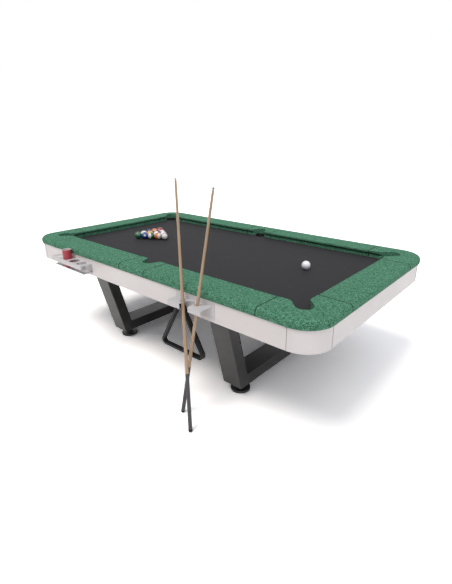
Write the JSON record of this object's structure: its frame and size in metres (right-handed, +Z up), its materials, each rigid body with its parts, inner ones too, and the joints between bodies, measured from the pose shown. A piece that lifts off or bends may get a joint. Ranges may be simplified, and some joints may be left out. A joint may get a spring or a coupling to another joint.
{
  "type": "outdoor billiard table",
  "caption": "Weatherproof pool table on two flared U-shaped leg frames, with cues, ball rack, balls, a cue rest and a cup shelf.",
  "frame": {"origin": "on the floor, under the middle of the box that holds the table with its leaning cues; the table's own middle lies on +Y of it", "axes": "+X along the table's length towards the cue ball, +Y across it away from the cue rest, +Z up"},
  "size_m": [2.62, 1.6658, 1.349],
  "materials": {
    "bed_board": "dense laminate board, matt",
    "rail_rubber": "bonded rubber granules, green with dark flecks",
    "pocket_plastic": "moulded",
    "apron_white": "powder coat, fine grain",
    "leg_grey": "dark powder coat",
    "frame_aluminium": "mill finish",
    "zinc_steel": "zinc plated",
    "foot_black": "black paint",
    "shelf_white": "powder coat, fine grain",
    "cue_grip": "matt sleeve",
    "cue_wood": "lacquered maple",
    "cue_leather": "pressed tip",
    "rack_black": "moulded",
    "tumbler_red": "moulded",
    "ball_resin": "polished",
    "cue_ball_resin": "polished"
  },
  "bodies": {
    "table": {"bed_slab": "bed_board", "rail_far_left": "rail_rubber", "rail_far_right": "rail_rubber", "rail_near_left": "rail_rubber", "rail_near_right": "rail_rubber", "rail_end_left": "rail_rubber", "rail_end_right": "rail_rubber", "rail_far_middle": "rail_rubber", "rail_near_middle": "rail_rubber", "rail_corner_far_right": "rail_rubber", "rail_corner_far_left": "rail_rubber", "rail_corner_near_left": "rail_rubber", "rail_corner_near_right": "rail_rubber", "pocket_cup_far_right": "pocket_plastic", "pocket_cup_far_left": "pocket_plastic", "pocket_cup_near_left": "pocket_plastic", "pocket_cup_near_right": "pocket_plastic", "pocket_cup_far_middle": "pocket_plastic", "pocket_cup_near_middle": "pocket_plastic", "apron_far": "apron_white", "apron_near": "apron_white", "apron_left": "apron_white", "apron_right": "apron_white", "apron_corner_far_right": "apron_white", "apron_corner_far_left": "apron_white", "apron_corner_near_left": "apron_white", "apron_corner_near_right": "apron_white", "apron_brackets": "zinc_steel", "leg_beam_left": "leg_grey", "leg_post_far_left": "leg_grey", "leg_post_near_left": "leg_grey", "leg_beam_right": "leg_grey", "leg_post_far_right": "leg_grey", "leg_post_near_right": "leg_grey", "cross_member_left": "frame_aluminium", "end_frame_left": "frame_aluminium", "cross_member_right": "frame_aluminium", "end_frame_right": "frame_aluminium", "stringer_far": "frame_aluminium", "stringer_near": "frame_aluminium", "leg_bolts": "zinc_steel", "slab_bolts": "zinc_steel", "cue_rest": "shelf_white", "cup_shelf": "shelf_white", "rack_peg": "shelf_white", "shelf_screws": "zinc_steel"},
    "foot_far_left": {"foot_far_left": "foot_black"},
    "foot_near_left": {"foot_near_left": "foot_black"},
    "foot_far_right": {"foot_far_right": "foot_black"},
    "foot_near_right": {"foot_near_right": "foot_black"},
    "tumbler": {"tumbler": "tumbler_red"},
    "rack": {"triangle_rack": "rack_black"},
    "ball_triangle": {"racked_balls": "ball_resin"},
    "cue_ball": {"cue_ball": "cue_ball_resin"},
    "cue_a": {"cue_a_sleeve": "cue_grip", "cue_a_shaft": "cue_wood", "cue_a_tip": "cue_leather"},
    "cue_b": {"cue_b_sleeve": "cue_grip", "cue_b_shaft": "cue_wood", "cue_b_tip": "cue_leather"}
  },
  "joints": [
    {"name": "foot_far_left_level", "type": "slide", "parent": "table", "child": "foot_far_left", "axis": [0, 0, -1], "range_m": [0, 0.025]},
    {"name": "foot_near_left_level", "type": "slide", "parent": "table", "child": "foot_near_left", "axis": [0, 0, -1], "range_m": [0, 0.025]},
    {"name": "foot_far_right_level", "type": "slide", "parent": "table", "child": "foot_far_right", "axis": [0, 0, -1], "range_m": [0, 0.025]},
    {"name": "foot_near_right_level", "type": "slide", "parent": "table", "child": "foot_near_right", "axis": [0, 0, -1], "range_m": [0, 0.025]},
    {"name": "cue_a_draw", "type": "slide", "parent": "table", "child": "cue_a", "axis": [0.1657, 0.0454, 0.9851], "range_m": [0, 0.75]},
    {"name": "cue_b_draw", "type": "slide", "parent": "table", "child": "cue_b", "axis": [-0.1894, 0.1563, 0.9694], "range_m": [0, 0.75]},
    {"name": "rack_swing", "type": "hinge", "parent": "table", "child": "rack", "pos_m": [0.469, -0.68012, 0.6647], "axis": [0, 1, 0], "range_deg": [-15, 15]},
    {"name": "tumbler_lift", "type": "slide", "parent": "table", "child": "tumbler", "axis": [0, 0, 1], "range_m": [0, 0.12]},
    {"name": "cue_ball_roll", "type": "slide", "parent": "table", "child": "cue_ball", "axis": [1, 0, 0], "range_m": [-1.1, 0.28]},
    {"name": "ball_triangle_lift", "type": "slide", "parent": "table", "child": "ball_triangle", "axis": [0, 0, 1], "range_m": [0, 0.1]}
  ]
}
